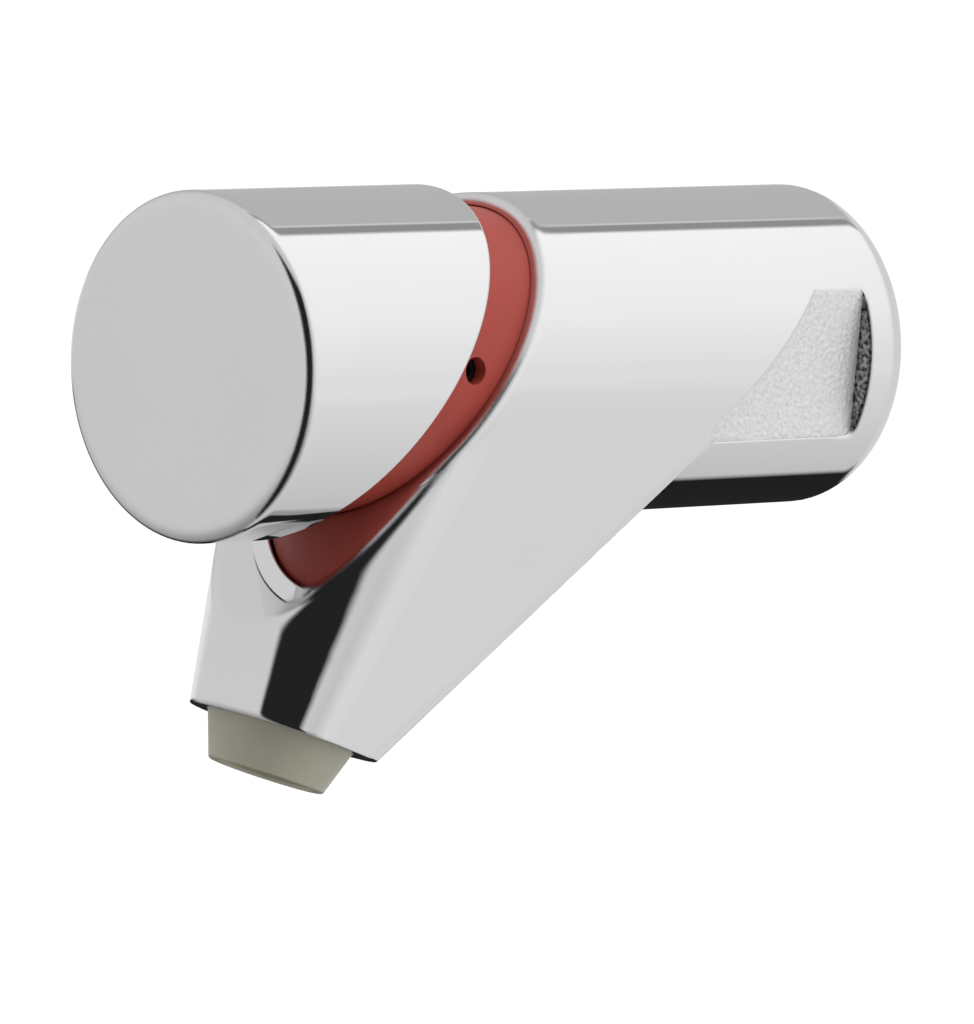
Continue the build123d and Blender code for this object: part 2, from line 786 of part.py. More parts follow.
with BuildPart() as piston_lip_seal:
    with BuildSketch(Plane.YZ):
        with BuildLine():
            Polyline(
                (-lip_mid + lip_width / 2 - seat_gap, piston_r - lip_depth + seat_gap),
                (-lip_mid + lip_width / 2 - seat_gap, timing_bore_r - seat_gap),
                (-lip_mid, timing_bore_r - 2 * seat_gap),
                (-lip_mid - lip_width / 2 + seat_gap, piston_r - lip_depth + lip_depth / 2),
                (-lip_mid - lip_width / 2 + seat_gap, piston_r - lip_depth + seat_gap),
                close=True,
            )
        make_face()
    revolve(axis=Axis.Y)
piston_lip_seal.part.label = "piston_lip_seal"
export_step(piston_lip_seal.part, "parts/piston_lip_seal.step")

# Valve head, its washer against the seat and the nut behind it
with BuildPart() as valve_head:
    with BuildSketch(Plane.XZ.offset(valve_back)):
        Circle(valve_r)
        Circle(valve_stem_r + seat_gap, mode=Mode.SUBTRACT)
    extrude(amount=valve_disc)
valve_head.part.label = "valve_head"
export_step(valve_head.part, "parts/valve_head.step")

with BuildPart() as valve_seal:
    with BuildSketch(Plane.XZ.offset(valve_back + valve_disc + seat_gap)):
        Circle(valve_washer_r)
        Circle(valve_stem_r + seat_gap, mode=Mode.SUBTRACT)
    extrude(amount=valve_washer - seat_gap)
valve_seal.part.label = "valve_seal"
export_step(valve_seal.part, "parts/valve_seal.step")

with BuildPart() as valve_nut_piece:
    with BuildSketch(Plane.XZ.offset(valve_back - valve_nut)):
        RegularPolygon(radius=valve_nut_flats / 2, side_count=6, major_radius=False)
        Circle(valve_stem_r + seat_gap, mode=Mode.SUBTRACT)
    extrude(amount=valve_nut - seat_gap)
valve_nut_piece.part.label = "valve_nut"
export_step(valve_nut_piece.part, "parts/valve_nut.step")

# Outlet nozzle: tapered mouth below the spout, threaded neck inside it
neck_top = nozzle_out + nozzle_in
with BuildPart() as nozzle:
    with BuildSketch(outlet_section):
        with BuildLine():
            Polyline(
                (nozzle_lip_bore_r, 0),
                (nozzle_mouth_r, 0),
                (nozzle_top_r, nozzle_out - seat_gap),
                (nozzle_thread_r, nozzle_out - seat_gap),
                (nozzle_thread_r, neck_top),
                (insert_bore_r, neck_top),
                (insert_bore_r, nozzle_lip),
                (nozzle_lip_bore_r, nozzle_lip),
                close=True,
            )
        make_face()
    revolve(axis=outlet_axis)
    fillet(
        nozzle.edges().filter_by(GeomType.CIRCLE).sort_by(outlet_axis)[:2],
        radius=nozzle_edge_r,
    )
nozzle.part.label = "nozzle"
export_step(nozzle.part, "parts/nozzle.step")

# Jet straightener inside the nozzle
with BuildPart() as jet_insert:
    with BuildSketch(outlet_plane.offset(nozzle_lip + seat_gap)):
        Circle(insert_bore_r - seat_gap)
        with HexLocations(jet_pitch / 2, jet_rows, jet_rows, major_radius=False):
            Circle(jet_hole_r, mode=Mode.SUBTRACT)
    extrude(amount=jet_insert_length)
jet_insert.part.label = "jet_insert"
export_step(jet_insert.part, "parts/jet_insert.step")

# Flat seal above the nozzle
with BuildPart() as nozzle_washer:
    with BuildSketch(outlet_plane.offset(neck_top)):
        Circle(nozzle_thread_r - running_gap)
        Circle(nozzle_seal_in_r, mode=Mode.SUBTRACT)
    extrude(amount=nozzle_seal)
nozzle_washer.part.label = "nozzle_washer"
export_step(nozzle_washer.part, "parts/nozzle_washer.step")

# Return spring: one wire wound between the pocket in the head nut and the insert
spring_start = spring_pocket_at + spring_wire / 2 + seat_gap
spring_stop = insert_at - spring_wire / 2 - seat_gap
spring_length = spring_stop - spring_start
with BuildPart() as return_spring:
    with BuildLine() as coil:
        Helix(
            pitch=spring_length / spring_turns,
            height=spring_length,
            radius=spring_r,
            center=(0, -spring_start, 0),
            direction=(0, -1, 0),
        )
    with BuildSketch(Plane(origin=coil.line @ 0, z_dir=coil.line % 0)):
        Circle(spring_wire / 2)
    sweep(is_frenet=True)
return_spring.part.label = "return_spring"
export_step(return_spring.part, "parts/return_spring.step")
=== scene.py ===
from math import pi, radians

import bmesh
import bpy
from bpy.props import FloatProperty, FloatVectorProperty, IntProperty, PointerProperty
from mathutils import Matrix, Vector


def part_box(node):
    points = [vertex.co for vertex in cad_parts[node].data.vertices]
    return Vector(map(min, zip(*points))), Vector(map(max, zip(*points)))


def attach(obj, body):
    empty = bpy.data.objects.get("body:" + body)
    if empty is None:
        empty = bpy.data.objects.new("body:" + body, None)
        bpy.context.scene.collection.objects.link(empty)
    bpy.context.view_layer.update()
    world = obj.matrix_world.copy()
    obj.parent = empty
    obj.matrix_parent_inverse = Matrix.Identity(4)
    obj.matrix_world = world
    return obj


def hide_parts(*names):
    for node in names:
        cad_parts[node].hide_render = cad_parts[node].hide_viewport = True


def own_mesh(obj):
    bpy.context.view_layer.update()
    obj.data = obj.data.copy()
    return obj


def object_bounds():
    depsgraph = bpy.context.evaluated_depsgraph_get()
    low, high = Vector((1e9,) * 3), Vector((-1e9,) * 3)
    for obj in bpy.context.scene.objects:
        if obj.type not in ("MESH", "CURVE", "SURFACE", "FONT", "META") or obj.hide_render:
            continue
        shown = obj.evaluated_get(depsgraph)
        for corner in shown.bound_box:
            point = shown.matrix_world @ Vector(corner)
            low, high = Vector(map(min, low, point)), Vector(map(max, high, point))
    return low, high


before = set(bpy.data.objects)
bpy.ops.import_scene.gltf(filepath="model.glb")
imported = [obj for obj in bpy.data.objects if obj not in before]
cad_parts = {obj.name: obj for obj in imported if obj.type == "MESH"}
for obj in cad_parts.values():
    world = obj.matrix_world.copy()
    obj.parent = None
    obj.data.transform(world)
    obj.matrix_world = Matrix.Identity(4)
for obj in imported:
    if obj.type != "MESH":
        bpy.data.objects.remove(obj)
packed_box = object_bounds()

bl_info = {
    "name": "Self-closing wall tap",
    "version": (1, 0, 0),
    "blender": (4, 5, 0),
    "location": "3D View > Sidebar > Tap",
    "description": "Builds the finishes, cast gripping flats, pipe thread and spring of the tap",
    "category": "Object",
}

PLACES = {name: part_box(name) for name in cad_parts}

# Lengths are in metres
MERGE_DISTANCE = 1e-6
CUT_TOLERANCE = 1e-8

# Soft edges: rays per point, and how far they fade out, in times their radius
EDGE_SAMPLES = 16
ROLL_FADE = 3
BUTTON_ROLL = 0.0025
BUTTON_EDGE = 0.0003
BUTTON_FADE = 0.008
NOTCH_CORE = 0.005
NOTCH_FADE = 0.011

# Room for error round the end walls of the gripping flats
WALL_MARGIN = 0.0001
WALL_TOP_MARGIN = 0.0004
SIDE_MARGIN = 0.00006

# Shape of the thread's ridge, in pitches
RIDGE_FOOT = 0.45
RIDGE_TIP = 0.08
RIDGE_ROUNDING = 0.1

WIRE_SIDES = 14
COIL_STEPS = 48

# Grey levels of the studio, as pairs of place on a scale from 0 to 1 and level.
# By the turn about the tap's axis: 0 at -X, 0.25 below, 0.5 at +X, 0.75 above
BACK_BY_TURN = [
    (0.03, 0.02), (0.215, 0.015), (0.228, 0.60), (0.30, 0.66), (0.45, 0.80), (0.60, 0.98),
    (0.783, 1.05), (0.787, 0.31), (0.806, 0.31), (0.8075, 0.75), (0.8105, 0.75),
    (0.8125, 0.51), (0.97, 0.50)]
# By the turn about Z: 0.5 at -Y, 0.75 at +X
DARK_BY_TURN = [(0.484, 0.0), (0.497, 1.0), (0.668, 1.0), (0.690, 0.0)]
# By height: 0 straight down, 1 straight up
FRONT_BY_HEIGHT = [
    (0.0, 0.25), (0.25, 0.45), (0.42, 0.66), (0.50, 0.69), (0.62, 0.69), (0.8, 0.66)]
BACKDROP_BY_HEIGHT = [(0.39, 0.0), (0.415, 1.0), (0.49, 1.0), (0.51, 0.0)]
DARK_BY_HEIGHT = [(0.86, 1.0), (0.92, 0.0)]
PLAIN_BY_HEIGHT = [(0.0, 0.10), (0.3, 0.25), (0.5, 0.70), (1.0, 1.05)]
# By depth: 0 at -Y, 1 at +Y
BEHIND_BY_DEPTH = [(0.893, 0.0), (0.901, 1.0)]
REAR_BY_DEPTH = [(0.45, 0.0), (0.62, 1.0)]
BACKDROP_LEVEL = 0.85
BEHIND_LEVEL = 0.72
DARK_LEVEL = 0.018
DARK_PLAIN_LEVEL = 0.03
DARK_PLAIN_SHARE = 0.85

FLOOR_SIZE = 12.0
LAMP_AIM = Vector((0, -0.06, 0))
KEY_LAMP = ((0.5, 0.1, 0.9), 0.8)
SIDE_LAMP = ((1.1, 0.4, 0.2), 0.7)

# Camera fitted to the photograph: its place and its three axes
CAMERA_PLACE = (1.154827, -1.240722, 0.213614)
CAMERA_RIGHT = Vector((0.70277305, 0.7058861, 0.08851474))
CAMERA_UP = Vector((-0.16283417, 0.0384886, 0.98590246))
CAMERA_BACK = Vector((0.69252803, -0.7072789, 0.14199113))
SENSOR_WIDTH = 36.0
CLIP_START = 0.05
CLIP_END = 50.0


class TapFinishes(bpy.types.PropertyGroup):
    """Colours and roughness of the tap's surfaces."""

    chrome: FloatVectorProperty(
        name="Chrome", description="Colour of the polished plating", subtype="COLOR", size=3,
        min=0, max=1, default=(0.84, 0.84, 0.845))
    chrome_roughness: FloatProperty(
        name="Chrome roughness", description="Blur of the plating's reflections",
        subtype="FACTOR", min=0, max=1, default=0.035)
    ring: FloatVectorProperty(
        name="Ring", description="Colour of the moulded ring", subtype="COLOR", size=3,
        min=0, max=1, default=(0.45, 0.068, 0.05))
    nozzle: FloatVectorProperty(
        name="Nozzle", description="Colour of the outlet's plastic", subtype="COLOR", size=3,
        min=0, max=1, default=(0.50, 0.48, 0.385))
    jet_insert: FloatVectorProperty(
        name="Jet straightener", description="Colour of the insert in the nozzle",
        subtype="COLOR", size=3, min=0, max=1, default=(0.36, 0.31, 0.20))
    white_plastic: FloatVectorProperty(
        name="White plastic", description="Colour of the piston and the flow regulator",
        subtype="COLOR", size=3, min=0, max=1, default=(0.72, 0.71, 0.66))
    black_plastic: FloatVectorProperty(
        name="Black plastic", description="Colour of the insert in the button",
        subtype="COLOR", size=3, min=0, max=1, default=(0.04, 0.04, 0.042))
    rubber: FloatVectorProperty(
        name="Rubber", description="Colour of gaskets and seals", subtype="COLOR", size=3,
        min=0, max=1, default=(0.03, 0.03, 0.03))
    brass: FloatVectorProperty(
        name="Brass", description="Colour of the turned brass", subtype="COLOR", size=3,
        min=0, max=1, default=(0.72, 0.54, 0.27))
    steel: FloatVectorProperty(
        name="Stainless steel", description="Colour of spindle, screws and spring",
        subtype="COLOR", size=3, min=0, max=1, default=(0.60, 0.60, 0.61))
    dark_steel: FloatVectorProperty(
        name="Dark steel", description="Colour of the blackened screw in the ring",
        subtype="COLOR", size=3, min=0, max=1, default=(0.035, 0.033, 0.033))


class TapSizes(bpy.types.PropertyGroup):
    """Sizes of the pieces that are modelled here."""

    grip_depth: FloatProperty(
        name="Grip depth", description="Depth of the gripping flats below the body's side",
        unit="LENGTH", default=0.003)
    grip_start: FloatProperty(
        name="Grip start", description="Reach of the flats' end nearest the wall",
        unit="LENGTH", default=0.008)
    grip_top_end: FloatProperty(
        name="Grip top end", description="Reach of the flats' upper front corner",
        unit="LENGTH", default=0.0185)
    grip_bottom_end: FloatProperty(
        name="Grip bottom end", description="Reach of the flats' lower front corner",
        unit="LENGTH", default=0.039)
    grip_top: FloatProperty(
        name="Grip top", description="Height of the flats above the body's axis",
        unit="LENGTH", default=0.0111)
    grip_bottom: FloatProperty(
        name="Grip bottom", description="Depth of the flats below the body's axis",
        unit="LENGTH", default=0.0104)
    grip_end_height: FloatProperty(
        name="Grip end height", description="Height of the flats' short front end",
        unit="LENGTH", default=0.0024)
    grain_size: FloatProperty(
        name="Grain size", description="Width of one lump of the rough cast surface",
        unit="LENGTH", default=0.0006)
    grain_height: FloatProperty(
        name="Grain height", description="Height of the lumps from pit to crest",
        unit="LENGTH", default=0.00022)
    grain_step: FloatProperty(
        name="Grain step", description="Distance between points of the cast surface",
        unit="LENGTH", default=0.0002)
    thread_pitch: FloatProperty(
        name="Thread pitch", description="Pitch of the inlet's pipe thread",
        unit="LENGTH", default=0.001814)
    thread_depth: FloatProperty(
        name="Thread depth", description="Depth of the inlet's pipe thread",
        unit="LENGTH", default=0.00116)
    thread_steps: IntProperty(
        name="Thread steps", description="Steps in one turn of the thread", default=96)
    thread_lead: FloatProperty(
        name="Thread lead", description="Plain length at the mouth of the thread",
        unit="LENGTH", default=0.0004)
    neck_length: FloatProperty(
        name="Neck length", description="Length of the stub inside the body",
        unit="LENGTH", default=0.0105)
    stub_bore: FloatProperty(
        name="Stub bore", description="Radius of the inlet's bore",
        unit="LENGTH", default=0.0066)
    stub_step: FloatProperty(
        name="Stub step", description="Radius of the bore behind the regulator",
        unit="LENGTH", default=0.0056)
    stub_neck: FloatProperty(
        name="Stub neck", description="Radius of the stub inside the body",
        unit="LENGTH", default=0.009997)
    spring_start: FloatProperty(
        name="Spring start", description="Reach of the spring's fixed end",
        unit="LENGTH", default=0.085)
    spring_radius: FloatProperty(
        name="Spring radius", description="Radius of the coil at the middle of its wire",
        unit="LENGTH", default=0.01025)
    spring_turns: IntProperty(
        name="Spring turns", description="Turns of the return spring", default=7)
    spring_wire: FloatProperty(
        name="Spring wire", description="Diameter of the spring's wire",
        unit="LENGTH", default=0.0015)
    face_reach: FloatProperty(
        name="Face reach", description="Reach of the body's slanted face on its axis",
        unit="LENGTH", default=0.0835)
    face_slope: FloatProperty(
        name="Face slope", description="Reach gained by the slanted face per length down",
        default=0.69)
    rim_roll: FloatProperty(
        name="Rim roll", description="Soft rounding round the slanted face",
        unit="LENGTH", default=0.0035)
    wall_roll: FloatProperty(
        name="Wall roll", description="Soft rounding at the end against the wall",
        unit="LENGTH", default=0.0042)
    notch_roll: FloatProperty(
        name="Notch roll", description="Soft rounding in the notch between spout and tube",
        unit="LENGTH", default=0.0025)
    notch_reach: FloatProperty(
        name="Notch reach", description="Reach of the notch's root",
        unit="LENGTH", default=0.046)
    notch_drop: FloatProperty(
        name="Notch drop", description="Depth of the notch's root below the axis",
        unit="LENGTH", default=0.0205)
    edge_roll: FloatProperty(
        name="Edge roll", description="Soft rounding of the body's other edges",
        unit="LENGTH", default=0.0005)


class TapStage(bpy.types.PropertyGroup):
    """Floor, light and camera."""

    floor_drop: FloatProperty(
        name="Floor drop", description="Distance from the tap down to the floor",
        unit="LENGTH", default=0.14)
    floor_colour: FloatVectorProperty(
        name="Floor colour", description="Colour of the plain floor", subtype="COLOR", size=3,
        min=0, max=1, default=(0.50, 0.50, 0.50))
    floor_glow: FloatProperty(
        name="Floor glow", description="Light added to the floor as seen directly",
        default=0.62)
    lens: FloatProperty(
        name="Lens", description="Focal length on a 36 mm sensor, in millimetres", default=404.0)
    key_watts: FloatProperty(
        name="Key light", description="Power of the large lamp above", default=2.4)
    fill_watts: FloatProperty(
        name="Fill light", description="Power of the lamp at the side", default=1.2)


# Working helpers

def deselect_all():
    """Leaves nothing selected, in object mode."""
    if bpy.context.object is not None and bpy.context.object.mode != "OBJECT":
        bpy.ops.object.mode_set(mode="OBJECT")
    bpy.ops.object.select_all(action="DESELECT")


def make_active(piece):
    """Selects one piece alone."""
    deselect_all()
    piece.select_set(True)
    bpy.context.view_layer.objects.active = piece


def apply_place(piece):
    """Puts the piece's place into its mesh, so its object sits at the origin."""
    make_active(piece)
    bpy.ops.object.transform_apply(location=True, rotation=True, scale=True)


def apply_modifiers(piece):
    """Applies all modifiers of a piece, first to last."""
    make_active(piece)
    for modifier in list(piece.modifiers):
        bpy.ops.object.modifier_apply(modifier=modifier.name)


def turn_outwards(piece):
    """Merges doubles and turns all faces outwards."""
    make_active(piece)
    bpy.ops.object.mode_set(mode="EDIT")
    bpy.ops.mesh.select_all(action="SELECT")
    bpy.ops.mesh.remove_doubles(threshold=MERGE_DISTANCE)
    bpy.ops.mesh.normals_make_consistent(inside=False)
    bpy.ops.object.mode_set(mode="OBJECT")


def named(piece, name):
    """Names a new piece and its mesh."""
    piece.name = name
    piece.data.name = name
    return piece


def wound(piece, lift, turns, steps):
    """Winds a profile about the Y axis; the lift is the way along Y in one turn."""
    screw = piece.modifiers.new("winding", "SCREW")
    screw.axis = "Y"
    screw.angle = 2 * pi
    screw.screw_offset = lift
    screw.iterations = turns
    screw.steps = steps
    screw.render_steps = steps
    screw.use_merge_vertices = lift == 0
    screw.merge_threshold = MERGE_DISTANCE
    apply_modifiers(piece)


def profile(points, name):
    """A closed line in the XY plane, from pairs of radius and Y."""
    deselect_all()
    bpy.ops.mesh.primitive_circle_add(vertices=len(points), radius=0.001, fill_type="NOTHING")
    line = named(bpy.context.object, name)
    make_active(line)
    bpy.ops.object.mode_set(mode="EDIT")
    cage = bmesh.from_edit_mesh(line.data)
    cage.verts.ensure_lookup_table()
    for vertex, (radius, y) in zip(cage.verts, points):
        vertex.co = (radius, y, 0)
    bmesh.update_edit_mesh(line.data)
    bpy.ops.object.mode_set(mode="OBJECT")
    return line


def sliced(piece, at, normal, fill=False):
    """Drops the side of a plane that the normal points to, and may close the cut."""
    make_active(piece)
    bpy.ops.object.mode_set(mode="EDIT")
    bpy.ops.mesh.select_mode(type="EDGE")
    bpy.ops.mesh.select_all(action="SELECT")
    bpy.ops.mesh.bisect(
        plane_co=at, plane_no=normal, clear_outer=True, threshold=CUT_TOLERANCE)
    if fill:
        bpy.ops.mesh.fill()
    bpy.ops.object.mode_set(mode="OBJECT")


def joined(pieces):
    """Joins pieces into the first one."""
    deselect_all()
    for piece in pieces:
        piece.select_set(True)
    bpy.context.view_layer.objects.active = pieces[0]
    bpy.ops.object.join()
    return pieces[0]


# Finishes

def new_material(name):
    """A node material with its shader, tree and coordinates ready."""
    material = bpy.data.materials.new(name)
    material.use_nodes = True
    tree = material.node_tree
    shader = tree.nodes["Principled BSDF"]
    place = tree.nodes.new("ShaderNodeTexCoord")
    return material, tree, shader, place.outputs["Object"]


def noise(tree, place, scale, detail=3.0, roughness=0.5, stretch=None):
    """A noise pattern on the piece's own coordinates."""
    if stretch is not None:
        mapping = tree.nodes.new("ShaderNodeMapping")
        mapping.inputs["Scale"].default_value = stretch
        tree.links.new(place, mapping.inputs["Vector"])
        place = mapping.outputs["Vector"]
    pattern = tree.nodes.new("ShaderNodeTexNoise")
    pattern.inputs["Scale"].default_value = scale
    pattern.inputs["Detail"].default_value = detail
    pattern.inputs["Roughness"].default_value = roughness
    tree.links.new(place, pattern.inputs["Vector"])
    return pattern.outputs["Fac"]


def ranged(tree, value, first, last, low, high):
    """Carries a value from the range first to last over to the range low to high."""
    node = tree.nodes.new("ShaderNodeMapRange")
    sockets = ("From Min", "From Max", "To Min", "To Max")
    for socket, level in zip(sockets, (first, last, low, high)):
        node.inputs[socket].default_value = level
    tree.links.new(value, node.inputs["Value"])
    return node.outputs["Result"]


def spread(tree, value, low, high):
    """Carries a noise pattern over to the range low to high."""
    return ranged(tree, value, 0.3, 0.7, low, high)


def maths(tree, operation, first, second=0.0):
    """One step of arithmetic on values or numbers."""
    node = tree.nodes.new("ShaderNodeMath")
    node.operation = operation
    for socket, value in zip(node.inputs, (first, second)):
        connect(tree, socket, value)
    return node.outputs[0]


def shifted(tree, value, factor, offset):
    """The value times a factor, plus an offset."""
    return maths(tree, "ADD", maths(tree, "MULTIPLY", value, factor), offset)


def distance(tree, first, second):
    """The length of the way given by two values at right angles."""
    return maths(tree, "SQRT", maths(
        tree, "ADD", maths(tree, "MULTIPLY", first, first),
        maths(tree, "MULTIPLY", second, second)))


def grey(level):
    """A grey as a colour with its alpha."""
    return (level, level, level, 1)


def connect(tree, socket, value):
    """Sets a socket to a number or a colour, or links it."""
    if isinstance(value, (int, float, tuple)):
        socket.default_value = value
    else:
        tree.links.new(value, socket)


def blended(tree, share, first, second):
    """A mix of two colours by a share from 0 to 1."""
    node = tree.nodes.new("ShaderNodeMix")
    node.data_type = "RGBA"
    tree.links.new(share, node.inputs[0])
    connect(tree, node.inputs[6], first)
    connect(tree, node.inputs[7], second)
    return node.outputs[2]


def averaged(tree, share, first, second):
    """A mix of two values by a share from 0 to 1."""
    node = tree.nodes.new("ShaderNodeMix")
    tree.links.new(share, node.inputs[0])
    connect(tree, node.inputs[2], first)
    connect(tree, node.inputs[3], second)
    return node.outputs[0]


def steps(tree, value, stops):
    """A grey scale over a value, from pairs of place and level."""
    ramp = tree.nodes.new("ShaderNodeValToRGB")
    elements = ramp.color_ramp.elements
    while len(elements) < len(stops):
        elements.new(0.5)
    for element, (at, level) in zip(elements, stops):
        element.position = at
        element.color = grey(level)
    tree.links.new(value, ramp.inputs["Fac"])
    return ramp.outputs["Color"]


def tint(tree, value, colour, change):
    """A colour that wanders a little darker and lighter with a pattern."""
    ramp = tree.nodes.new("ShaderNodeValToRGB")
    ramp.color_ramp.elements[0].position = 0.3
    ramp.color_ramp.elements[1].position = 0.7
    ramp.color_ramp.elements[0].color = [max(0, c * (1 - change)) for c in colour] + [1]
    ramp.color_ramp.elements[1].color = [min(1, c * (1 + change)) for c in colour] + [1]
    tree.links.new(value, ramp.inputs["Fac"])
    return ramp.outputs["Color"]


def bump(tree, height, distance, strength=1.0):
    """Bump from a height pattern, with the distance in metres."""
    node = tree.nodes.new("ShaderNodeBump")
    node.inputs["Strength"].default_value = strength
    node.inputs["Distance"].default_value = distance
    tree.links.new(height, node.inputs["Height"])
    return node.outputs["Normal"]


def polished_chrome(name, finishes, rolled):
    """Mirror plating with the faint waviness of a polished casting.

    Edges are rolled over softly: rolled gives the radius from the coordinates x, y and z.
    """
    material, tree, shader, place = new_material(name)
    haze = noise(tree, place, scale=20.0, detail=4.0)
    waves = noise(tree, place, scale=38.0, detail=1.0, roughness=0.3)
    split = tree.nodes.new("ShaderNodeSeparateXYZ")
    tree.links.new(place, split.inputs[0])
    roll = tree.nodes.new("ShaderNodeBevel")
    roll.samples = EDGE_SAMPLES
    tree.links.new(rolled(tree, *split.outputs), roll.inputs["Radius"])
    normal = bump(tree, waves, distance=0.00002, strength=0.6)
    tree.links.new(roll.outputs["Normal"], normal.node.inputs["Normal"])
    tree.links.new(
        tint(tree, haze, finishes.chrome, change=0.016), shader.inputs["Base Color"])
    blur = finishes.chrome_roughness
    tree.links.new(
        spread(tree, haze, low=blur * 0.7, high=blur * 1.3), shader.inputs["Roughness"])
    tree.links.new(normal, shader.inputs["Normal"])
    shader.inputs["Metallic"].default_value = 1.0
    return material, place, split.outputs


def button_edges(tree, x, y, z):
    """Soft rounding of the button's front edge."""
    front = PLACES["push_button"][0].y
    return ranged(tree, y, front, front + BUTTON_FADE, BUTTON_ROLL, BUTTON_EDGE)


def body_edges(sizes):
    """Soft rounding of the body: face, wall end, and the notch between spout and tube."""
    def rolled(tree, x, y, z):
        lean = maths(tree, "MULTIPLY", z, sizes.face_slope)
        depth = maths(tree, "ADD", maths(tree, "SUBTRACT", y, lean), sizes.face_reach)
        face = ranged(
            tree, depth, 0.0, sizes.rim_roll * ROLL_FADE, sizes.rim_roll, sizes.edge_roll)
        end = ranged(
            tree, y, -sizes.wall_roll * ROLL_FADE, 0.0, sizes.edge_roll, sizes.wall_roll)
        along = maths(tree, "ADD", y, sizes.notch_reach)
        down = maths(tree, "ADD", z, sizes.notch_drop)
        away = distance(tree, along, down)
        notch = ranged(
            tree, away, NOTCH_CORE, NOTCH_FADE, sizes.notch_roll, sizes.edge_roll)
        return maths(tree, "MAXIMUM", maths(tree, "MAXIMUM", face, end), notch)
    return rolled


def body_chrome(finishes, sizes):
    """The body's plating, with the end walls of the gripping flats left rough as cast and
    painted dark as shade in the recess.
    """
    material, place, (x, y, z) = polished_chrome(
        "body_chrome", finishes, body_edges(sizes))
    tree = material.node_tree
    shader = tree.nodes["Principled BSDF"]
    side = PLACES["body"][1].x
    across = maths(tree, "ABSOLUTE", x)
    start = -sizes.grip_start
    walls = maths(tree, "LESS_THAN", distance(tree, x, z), side - SIDE_MARGIN)
    for operation, value, limit in (
        ("GREATER_THAN", across, side - sizes.grip_depth - WALL_MARGIN),
        ("LESS_THAN", y, start + WALL_MARGIN),
        ("GREATER_THAN", y, start - WALL_MARGIN),
        ("LESS_THAN", maths(tree, "ABSOLUTE", z), sizes.grip_top + WALL_TOP_MARGIN),
    ):
        walls = maths(tree, "MULTIPLY", walls, maths(tree, operation, value, limit))
    grain = noise(tree, place, scale=1500.0, detail=3.0, roughness=0.6)
    # Painted shade: the end walls are coloured near black for the shade in the recess, with
    # lighter flecks where the grain is high
    painted_wall_shade = maths(
        tree, "MULTIPLY", walls, ranged(tree, grain, first=0.4, last=0.6, low=1.0, high=0.2))
    plated = {name: shader.inputs[name].links[0].from_socket
              for name in ("Base Color", "Roughness", "Normal")}
    tree.links.new(
        blended(tree, painted_wall_shade, plated["Base Color"], grey(0.06)), shader.inputs["Base Color"])
    tree.links.new(
        averaged(tree, walls, plated["Roughness"], 0.3), shader.inputs["Roughness"])
    pits = bump(tree, grain, distance=0.0002)
    tree.links.new(walls, pits.node.inputs["Strength"])
    tree.links.new(plated["Normal"], pits.node.inputs["Normal"])
    tree.links.new(pits, shader.inputs["Normal"])
    return material


def cast_chrome(finishes):
    """Plating over an unpolished casting, with fine pits between the lumps."""
    material, tree, shader, place = new_material("cast_chrome")
    grain = noise(tree, place, scale=1700.0, detail=2.0)
    paler = [min(1, part * 1.08) for part in finishes.chrome]
    tree.links.new(tint(tree, grain, paler, change=0.10), shader.inputs["Base Color"])
    tree.links.new(spread(tree, grain, low=0.50, high=0.62), shader.inputs["Roughness"])
    tree.links.new(bump(tree, grain, distance=0.00015), shader.inputs["Normal"])
    shader.inputs["Metallic"].default_value = 0.5
    return material


def moulded_plastic(name, colour, roughness, grain_height=0.00001, depth=0.0, shine=0.5):
    """Moulded plastic with a fine grain and a faint colour change."""
    material, tree, shader, place = new_material(name)
    cloud = noise(tree, place, scale=120.0)
    grain = noise(tree, place, scale=5200.0, detail=2.0)
    tree.links.new(tint(tree, cloud, colour, change=0.05), shader.inputs["Base Color"])
    tree.links.new(
        spread(tree, cloud, low=roughness * 0.9, high=roughness * 1.1),
        shader.inputs["Roughness"])
    tree.links.new(bump(tree, grain, grain_height, strength=0.5), shader.inputs["Normal"])
    shader.inputs["Specular IOR Level"].default_value = shine
    if depth > 0:
        shader.inputs["Subsurface Weight"].default_value = 0.3
        shader.inputs["Subsurface Scale"].default_value = depth
        shader.inputs["Subsurface Radius"].default_value = (1.0, 0.95, 0.7)
    return material


def soft_rubber(finishes):
    """Matt rubber with fine mould marks."""
    material, tree, shader, place = new_material("seal_rubber")
    grain = noise(tree, place, scale=1800.0, detail=4.0)
    tree.links.new(
        tint(tree, grain, finishes.rubber, change=0.25), shader.inputs["Base Color"])
    tree.links.new(spread(tree, grain, low=0.55, high=0.8), shader.inputs["Roughness"])
    tree.links.new(
        bump(tree, grain, distance=0.00003, strength=0.5), shader.inputs["Normal"])
    return material


def turned_metal(name, colour, roughness):
    """Metal turned on a lathe about the tap's axis, with its fine tool marks."""
    material, tree, shader, place = new_material(name)
    marks = noise(tree, place, scale=160.0, roughness=0.6, stretch=(1.0, 60.0, 1.0))
    tree.links.new(tint(tree, marks, colour, change=0.10), shader.inputs["Base Color"])
    tree.links.new(
        spread(tree, marks, low=roughness * 0.7, high=roughness * 1.4),
        shader.inputs["Roughness"])
    tree.links.new(
        bump(tree, marks, distance=0.00002, strength=0.5), shader.inputs["Normal"])
    shader.inputs["Metallic"].default_value = 1.0
    return material


def give(names, material):
    """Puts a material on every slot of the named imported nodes."""
    for name in names:
        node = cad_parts[name]
        if not node.material_slots:
            node.data.materials.append(material)
        for slot in node.material_slots:
            slot.material = material


